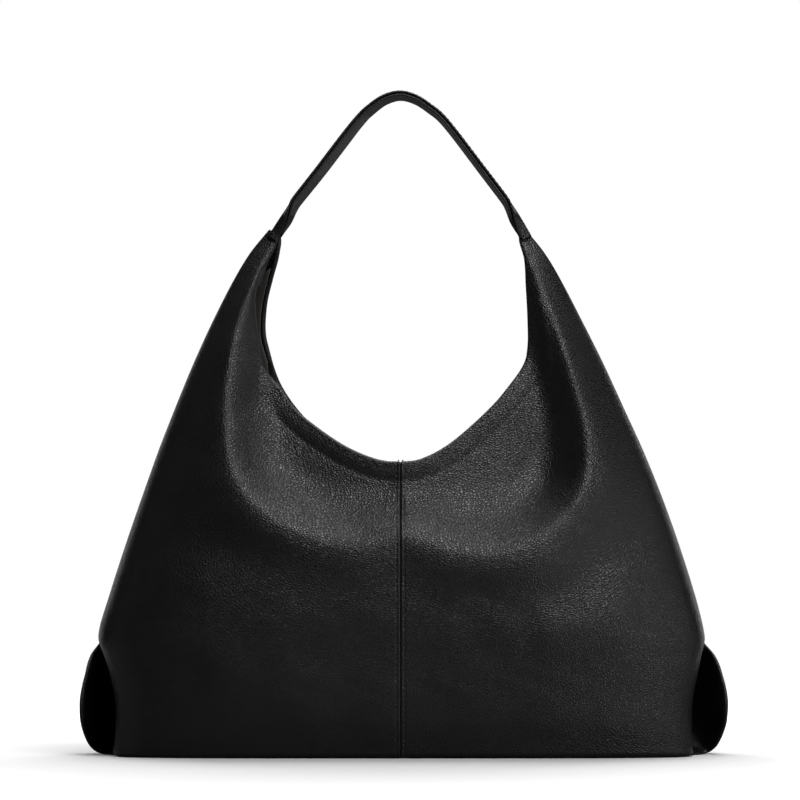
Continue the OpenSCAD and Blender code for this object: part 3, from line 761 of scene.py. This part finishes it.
def ply_outline(width, top, bottom, crown, steps=18, edge=0.55):
    """Outline of one ply: [across, depth] pairs, with rounded edges."""
    half = width / 2
    across = np.linspace(-half + edge, half - edge, steps)
    upper = [(v, top + crown * (1 - (v / half) ** 2)) for v in across]
    lower = [(v, bottom) for v in across[::-1]]
    mid = (top + bottom) / 2
    rise = (top - bottom) / 2
    turns = (50, 0, -50)
    right = [(half - edge + edge * math.cos(math.radians(a)), mid + rise * math.sin(math.radians(a)))
             for a in turns]
    left = [(-v, d) for v, d in right[::-1]]
    return np.array(upper + right + lower + left)


def strap_ply(name, width, top, bottom, crown, start, material, node):
    """One ply of the strap, which starts and ends at the same distance from the strap's two ends."""
    frames = strap_frames(STRAP_STEPS)
    run = frames[2]
    outline = ply_outline(width, top, bottom, crown)
    rings = [strap_point(frames, i, outline[:, 0], outline[:, 1]) for i in range(STRAP_STEPS)
             if start <= run[i] <= run[-1] - start]
    points, faces = tube(rings)
    make_piece(name, points, faces, material, "strap", node)


def strap_wrap(side, material):
    """The strap's folded end, a sleeve round the horn tip."""
    frames = strap_frames(WRAP_STEPS)
    total = frames[2][-1]
    lift = 0.3
    skive = 2.5
    outline = ply_outline(STRAP_W + 0.2, lift, -1.4, 0.2, steps=26)
    rings = []
    for i in range(0, WRAP_STEPS, 3):
        run = frames[2][i] if side == LEFT else total - frames[2][i]
        if run > WRAP_L:
            continue
        shrink = ramp((run - WRAP_L + skive) / skive) * 0.4
        depth = outline[:, 1] - np.where(outline[:, 1] > -0.5, shrink, 0)
        rings.append(strap_point(frames, i, outline[:, 0], depth))
    points, faces = tube(rings)
    name = side_name(side) + "_strap_wrap"
    make_piece("leather_" + name, points, faces, material, "strap", name)


def stitch_rings(a, b, normal, width=0.75, height=0.45):
    """Rings of one stitch that rises out of the leather at a and goes back in at b."""
    run = unit(b - a)
    across = unit(np.cross(run, normal))
    rings = []
    for part, lift, size in ((0, -0.5, 0.35), (0.12, 0.05, 0.85), (0.5, 0.28, 1), (0.88, 0.05, 0.85),
                             (1, -0.5, 0.35)):
        centre = a + (b - a) * part + normal * lift
        rings.append([centre + across * width / 2 * size * math.cos(t)
                      + normal * height / 2 * size * math.sin(t)
                      for t in np.radians(np.arange(0, 360, 60))])
    return rings


def stitches(name, lines, material, body, pitch=3.9, length=3.0):
    """Stitches along lines of (points, normals)."""
    all_points, all_faces = [], []
    total = 0
    for points, normals in lines:
        run = np.concatenate([[0], np.cumsum(np.linalg.norm(np.diff(points, axis=0), axis=1))])
        count = int((run[-1] - length) // pitch) + 1
        for k in range(count):
            ends = []
            for at in (k * pitch, k * pitch + length):
                ends.append(np.array([np.interp(at, run, points[:, c]) for c in range(3)]))
            middle = k * pitch + length / 2
            normal = unit(np.array([np.interp(middle, run, normals[:, c]) for c in range(3)]))
            verts, faces = tube(stitch_rings(ends[0], ends[1], normal))
            all_faces += [tuple(v + total for v in f) for f in faces]
            all_points.append(verts)
            total += len(verts)
    make_piece("stitches_" + name, np.concatenate(all_points), all_faces, material, body,
               name + "_thread")


def seam_lines(face):
    """Two lines of stitches beside the middle seam."""
    z = np.linspace(7, MOUTH_Z - 4, 120)
    return [on_body(face, side, SEAM_STITCH + 0 * z, z) for side in (LEFT, RIGHT)]


def mouth_lines(face):
    """The line of stitches below the lip, from corner to corner of the mouth."""
    lines = []
    for side in (LEFT, RIGHT):
        lip = LIP_PATHS[face, side]
        lip = lip[int(STITCH_START * len(lip)):]
        along = unit(np.gradient(lip, axis=0))
        inward = np.column_stack([-along[:, 1], along[:, 0]])
        line = lip + inward * HEM
        line = line[line[:, 0] > SEAM_STITCH + 1]
        lines.append(on_body(face, side, line[:, 0], line[:, 1]))
    return lines


def strap_lines():
    """Two lines of stitches near the strap's edges."""
    frames = strap_frames(STRAP_STEPS)
    run = frames[2]
    start = WRAP_L + 3
    chosen = [i for i in range(STRAP_STEPS) if start < run[i] < run[-1] - start]
    lines = []
    for across in (-STRAP_STITCH, STRAP_STITCH):
        place = np.array([across, across])
        depth = np.array([0.1, 1.1])
        pair = np.array([strap_point(frames, i, place, depth) for i in chosen])
        lines.append((pair[:, 0], unit(pair[:, 1] - pair[:, 0])))
    return lines


def wrap_lines(side):
    """Short lines of stitches across the strap's folded end and along its laps."""
    frames = strap_frames(WRAP_STEPS)
    total = frames[2][-1]
    from_edge = 9.3
    lines = []

    def at(run, across):
        i = int(np.searchsorted(frames[2], run if side == LEFT else total - run))
        pair = strap_point(frames, i, np.array([across, across]), np.array([0.5, 1.5]))
        return pair[0], unit(pair[1] - pair[0])

    for path in ([(4.0, across) for across in np.linspace(-10, 10, 15)],
                 [(run, from_edge) for run in np.linspace(7, 24, 10)],
                 [(run, -from_edge) for run in np.linspace(7, 24, 10)]):
        got = [at(run, across) for run, across in path]
        lines.append((np.array([g[0] for g in got]), np.array([g[1] for g in got])))
    return lines


# Leather tongue inside a horn tip: [height, distance from the middle, half width, half thickness]
TONGUE = [[358, 113, 1.5, 0.6], [362, 112.5, 5, 1.1], [376, 108, 4.5, 1.3], [388, 103, 3.4, 1.3],
          [396, 100.5, 2.4, 1.2], [400, 98.8, 1.8, 1], [403, 97.8, 1, 0.6]]


def horn_tongue(side, material):
    """Leather tongue inside a horn tip, which stiffens it where the strap bends."""
    rings = []
    for z, centre, half_x, half_y in TONGUE:
        rings.append([(side * centre + half_x * math.cos(t), half_y * math.sin(t), z)
                      for t in np.radians(np.arange(0, 360, 20))])
    points, faces = tube(rings)
    name = side_name(side) + "_horn_reinforcement"
    piece = make_piece("tongue_" + name, points, faces, material, None, name)
    bend_at_horn(piece)


# ---- Materials ----
class Nodes:
    """Short hand for building one material's nodes."""

    def __init__(self, name):
        self.material = bpy.data.materials.new(name)
        self.material.use_nodes = True
        self.tree = self.material.node_tree
        self.shader = self.tree.nodes["Principled BSDF"]
        self.coords = self.add("ShaderNodeTexCoord").outputs["Object"]

    def add(self, kind, **values):
        node = self.tree.nodes.new(kind)
        for key, value in values.items():
            setattr(node, key, value)
        return node

    def link(self, output, socket):
        self.tree.links.new(output, socket)

    def put(self, socket, value):
        if isinstance(value, bpy.types.NodeSocket):
            self.link(value, socket)
        else:
            socket.default_value = value

    def scaled(self, kind, scale, vector=None, **values):
        """A node that takes a place on the object and a scale."""
        node = self.add(kind, **values)
        self.link(vector or self.coords, node.inputs["Vector"])
        node.inputs["Scale"].default_value = scale
        return node

    def stretched(self, scale):
        return self.scaled("ShaderNodeMapping", scale).outputs["Vector"]

    def noise(self, scale, detail=3, roughness=0.5, vector=None):
        node = self.scaled("ShaderNodeTexNoise", scale, vector)
        node.inputs["Detail"].default_value = detail
        node.inputs["Roughness"].default_value = roughness
        return node.outputs["Fac"]

    def cells(self, scale, vector=None):
        """Distance to the nearest edge between irregular cells."""
        node = self.scaled("ShaderNodeTexVoronoi", scale, vector, feature="DISTANCE_TO_EDGE")
        return node.outputs["Distance"]

    def math(self, operation, a, b=0.0):
        node = self.add("ShaderNodeMath", operation=operation)
        self.put(node.inputs[0], a)
        self.put(node.inputs[1], b)
        return node.outputs[0]

    def span(self, value, low, high, to_low, to_high):
        node = self.add("ShaderNodeMapRange")
        self.link(value, node.inputs["Value"])
        for key, number in zip(("From Min", "From Max", "To Min", "To Max"),
                               (low, high, to_low, to_high)):
            node.inputs[key].default_value = number
        return node.outputs["Result"]

    def blend(self, factor, a, b):
        node = self.add("ShaderNodeMix", data_type="RGBA")
        self.put(node.inputs["Factor"], factor)
        self.put(node.inputs["A"], a)
        self.put(node.inputs["B"], b)
        return node.outputs["Result"]

    def bump(self, height, distance, strength):
        node = self.add("ShaderNodeBump")
        self.link(height, node.inputs["Height"])
        node.inputs["Distance"].default_value = distance
        node.inputs["Strength"].default_value = strength
        return node.outputs["Normal"]

    def finish(self, color, roughness, normal=None, **constants):
        self.put(self.shader.inputs["Base Color"], color)
        self.put(self.shader.inputs["Roughness"], roughness)
        if normal:
            self.link(normal, self.shader.inputs["Normal"])
        for key, value in constants.items():
            self.shader.inputs[key.replace("_", " ")].default_value = value
        return self.material


def grey(value):
    return (value, value, value, 1)


def pebbled_leather():
    """Rounded pebbles about 2 mm across, a little wider than tall, with dull grooves between, whose darker
    colour is painted shade.
    """
    n = Nodes("pebbled leather")
    warp = n.scaled("ShaderNodeTexNoise", 420)
    warp.inputs["Detail"].default_value = 2
    mixed = n.add("ShaderNodeMix", data_type="VECTOR")
    mixed.inputs["Factor"].default_value = 0.0007
    n.link(n.stretched((1, 1, 1.3)), mixed.inputs["A"])
    n.link(warp.outputs["Color"], mixed.inputs["B"])
    vector = mixed.outputs["Result"]
    edge = n.cells(470, vector)
    pebble = n.math("SINE", n.span(edge, 0.0, 0.38, 0.0, math.pi / 2))
    fine = n.noise(1500, 2, 0.5)
    height = n.math("ADD", pebble, n.math("MULTIPLY", fine, 0.05))
    normal = n.bump(height, 0.00021, 0.8)
    patches = n.noise(28, 4, 0.55)
    rough = n.span(patches, 0.3, 0.7, 0.28, 0.35)
    rough = n.math("ADD", rough, n.span(edge, 0.01, 0.13, 0.3, 0.0))
    # The colour is darker in the grooves between the pebbles: painted shade in the creases.
    color = n.blend(n.span(edge, 0.0, 0.12, 0.0, 1.0), grey(0.0008), grey(0.003))
    return n.finish(color, rough, normal)


def smooth_leather():
    n = Nodes("smooth leather")
    grain = n.cells(1500)
    fine = n.noise(3000, 3, 0.6)
    height = n.math("ADD", n.span(grain, 0, 0.3, 0, 1), n.math("MULTIPLY", fine, 0.3))
    normal = n.bump(height, 0.00012, 0.5)
    rough = n.span(n.noise(40, 4), 0.3, 0.7, 0.42, 0.55)
    return n.finish(n.blend(n.noise(90, 3), grey(0.006), grey(0.011)), rough, normal)


def thread():
    n = Nodes("thread")
    twist = n.scaled("ShaderNodeTexWave", 900, wave_type="BANDS", bands_direction="DIAGONAL")
    normal = n.bump(twist.outputs["Fac"], 0.0001, 0.6)
    return n.finish(n.blend(n.noise(700), grey(0.006), grey(0.014)), 0.55, normal)


def woven(name, dark, light, threads_per_metre, roughness=0.85, sheen=0.25):
    n = Nodes(name)
    turns = threads_per_metre * 6.283
    split = n.add("ShaderNodeSeparateXYZ")
    n.link(n.coords, split.inputs[0])
    level = n.math("ADD", split.outputs["X"], split.outputs["Y"])
    across = n.math("SINE", n.math("MULTIPLY", level, turns))
    along = n.math("SINE", n.math("MULTIPLY", split.outputs["Z"], turns))
    weave = n.math("MULTIPLY", across, along)
    slub = n.noise(threads_per_metre * 0.4, 3, 0.6)
    height = n.math("ADD", n.span(weave, -1, 1, 0, 1), n.math("MULTIPLY", slub, 0.5))
    normal = n.bump(height, 0.00015, 0.5)
    tone = n.math("ADD", n.math("MULTIPLY", n.span(weave, -1, 1, 0, 1), 0.5),
                  n.math("MULTIPLY", n.noise(60, 4), 0.5))
    return n.finish(n.blend(tone, dark, light), roughness, normal, Sheen_Weight=sheen)


def board():
    n = Nodes("bonded board")
    fibre = n.noise(400, 4, 0.7)
    return n.finish(n.blend(fibre, (0.10, 0.085, 0.07, 1), (0.17, 0.145, 0.12, 1)), 0.8,
                    n.bump(fibre, 0.0002, 0.4))


def brushed_metal(name, dark, light, roughness):
    n = Nodes(name)
    wear = n.noise(300, 4, 0.6, n.stretched((1, 1, 14)))
    rough = n.span(wear, 0.3, 0.7, roughness - 0.06, roughness + 0.08)
    return n.finish(n.blend(wear, dark, light), rough, n.bump(wear, 0.00004, 0.3), Metallic=1)


# ---- Studio: pale floor, soft lights and the camera ----
def floor():
    """A white disc. Its own glow, which only the camera sees, rises away from the bag, so that it
    meets the white background, and stays low near it, where the bag's shadow falls."""
    n = Nodes("floor")
    away = n.add("ShaderNodeVectorMath", operation="LENGTH")
    n.link(n.stretched((1.3, 0.75, 1)), away.inputs[0])
    glow = n.span(away.outputs["Value"], 0.2, 1.0, 0.0, 1.07)
    path = n.add("ShaderNodeLightPath")
    n.link(n.math("MULTIPLY", glow, path.outputs["Is Camera Ray"]), n.shader.inputs["Emission Strength"])
    n.shader.inputs["Emission Color"].default_value = grey(1)
    n.finish(n.blend(path.outputs["Is Camera Ray"], grey(0.16), grey(0.69)), 0.9)
    steps = 96
    radii = [0.1, 0.3, 0.5, 0.7, 1, 1.4, 2, 3]
    rings = [[(radius * math.cos(a) / MM, radius * math.sin(a) / MM, 0)
              for a in np.linspace(0, 2 * math.pi, steps, endpoint=False)] for radius in radii]
    points, faces = tube(rings)
    # The last face would cap the widest ring, over all the others
    piece = make_piece("floor", points, faces[:-1], n.material)


def softbox(name, place, aim, width, height, power):
    light = bpy.data.lights.new(name, "AREA")
    light.shape = "RECTANGLE"
    light.size, light.size_y = width, height
    light.energy = power
    lamp = bpy.data.objects.new(name, light)
    bpy.context.scene.collection.objects.link(lamp)
    lamp.location = place
    lamp.rotation_euler = (Vector(aim) - Vector(place)).to_track_quat("-Z", "Y").to_euler()


def studio():
    floor()
    middle = (0, 0, 0.25)
    softbox("front_top", (0.45, -1.15, 1.7), middle, 0.9, 0.8, 24)
    softbox("back_top", (0, 0.9, 2.2), middle, 1.8, 1.2, 46)
    softbox("left_side", (-1.9, -0.3, 0.6), middle, 0.7, 1.2, 0.8)
    softbox("right_side", (1.9, -0.3, 0.5), middle, 0.7, 1.0, 3.4)
    softbox("left_edge", (-1.0, 1.5, 0.5), middle, 0.4, 1.3, 2.3)
    softbox("right_edge", (1.0, 1.5, 0.5), middle, 0.4, 1.3, 2.9)
    softbox("right_fill", (1.5, -1.7, 0.3), middle, 1.0, 0.7, 7)
    world = bpy.data.worlds.new("studio")
    bpy.context.scene.world = world
    world.use_nodes = True
    tree = world.node_tree
    back = tree.nodes["Background"]
    back.inputs["Color"].default_value = grey(1)
    path = tree.nodes.new("ShaderNodeLightPath")
    level = tree.nodes.new("ShaderNodeMapRange")
    level.inputs["To Min"].default_value = 0.01
    level.inputs["To Max"].default_value = 1.0
    tree.links.new(path.outputs["Is Camera Ray"], level.inputs["Value"])
    tree.links.new(level.outputs["Result"], back.inputs["Strength"])
    scene = bpy.context.scene
    scene.view_settings.view_transform = "Standard"
    scene.view_settings.look = "None"
    scene.view_settings.exposure = 0
    scene.view_settings.gamma = 1


def camera():
    """A long lens from low in front, aimed at the middle of the picture, with no shift."""
    distance = 2.6
    eye_x = -0.0004
    eye_z = 0.1
    aim_z = 0.2726
    frame_side = 0.6173
    data = bpy.data.cameras.new("camera")
    data.sensor_width = 36
    data.lens = data.sensor_width * math.hypot(distance, aim_z - eye_z) / frame_side
    cam = bpy.data.objects.new("camera", data)
    bpy.context.scene.collection.objects.link(cam)
    cam.location = (eye_x, -distance, eye_z)
    cam.rotation_euler = (math.radians(90) + math.atan((aim_z - eye_z) / distance), 0, 0)
    bpy.context.scene.camera = cam


def dress(nodes, material):
    """A material for CAD pieces that stay as they are."""
    for name in nodes:
        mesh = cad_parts[name].data
        for k in range(len(mesh.materials)):
            mesh.materials[k] = material
        if not mesh.materials:
            mesh.materials.append(material)


def build():
    pebbled = pebbled_leather()
    smooth = smooth_leather()
    sewing = thread()
    cloth = woven("lining cloth", (0.016, 0.015, 0.0125, 1), (0.036, 0.032, 0.027, 1), 1600)
    tape = woven("zip tape", (0.02, 0.018, 0.016, 1), (0.05, 0.046, 0.042, 1), 1900, 0.9, 0.1)
    brass = brushed_metal("pale brass", (0.52, 0.4, 0.2, 1), (0.66, 0.53, 0.3, 1), 0.26)
    dark_metal = brushed_metal("magnet", (0.05, 0.05, 0.052, 1), (0.1, 0.1, 0.1, 1), 0.4)
    for face in (FRONT, BACK):
        for side in (LEFT, RIGHT):
            panel(face, side, pebbled)
        facing(face, smooth)
        lining(face, cloth)
        stitches(face_name(face) + "_seam", seam_lines(face), sewing, "bag")
    stitches("mouth", mouth_lines(FRONT) + mouth_lines(BACK), sewing, "bag")
    bag_base(pebbled, cloth)
    strap_ply("leather_strap_outer", STRAP_W, OUTER_FACE, CORE_FACE, 0.5, 6, pebbled,
              "strap_outer")
    strap_ply("strap_filler", STRAP_W - 4, CORE_FACE, STRAP_LINING_FACE, 0, 8, smooth,
              "strap_core")
    strap_ply("leather_strap_lining", STRAP_W, STRAP_LINING_FACE, INNER_FACE, 0, 8, smooth,
              "strap_lining")
    stitches("strap", strap_lines(), sewing, "strap")
    for side in (LEFT, RIGHT):
        strap_wrap(side, pebbled)
        horn_tongue(side, smooth)
        stitches(side_name(side) + "_wrap", wrap_lines(side), sewing, "strap", pitch=3.2, length=2.3)
    dress(("base_board",), board())
    dress(("snap_socket", "snap_stud", "snap_socket_backing", "snap_stud_backing", "zip_upper_teeth",
           "zip_lower_teeth", "zip_stops", "zip_slider", "zip_pull"), brass)
    dress(("snap_magnet",), dark_metal)
    pocket("slip_pocket", FRONT, SLIP_HALF_W, POCKET_LOW, SLIP_TOP, cloth)
    pocket("zip_pocket", BACK, ZIP_L / 2 + 8, POCKET_LOW, ZIP_Z - 20, cloth)
    zip_welt(smooth)
    zip_tape(1, "zip_upper_tape", tape)
    zip_tape(-1, "zip_lower_tape", tape)


camera()
studio()
build()
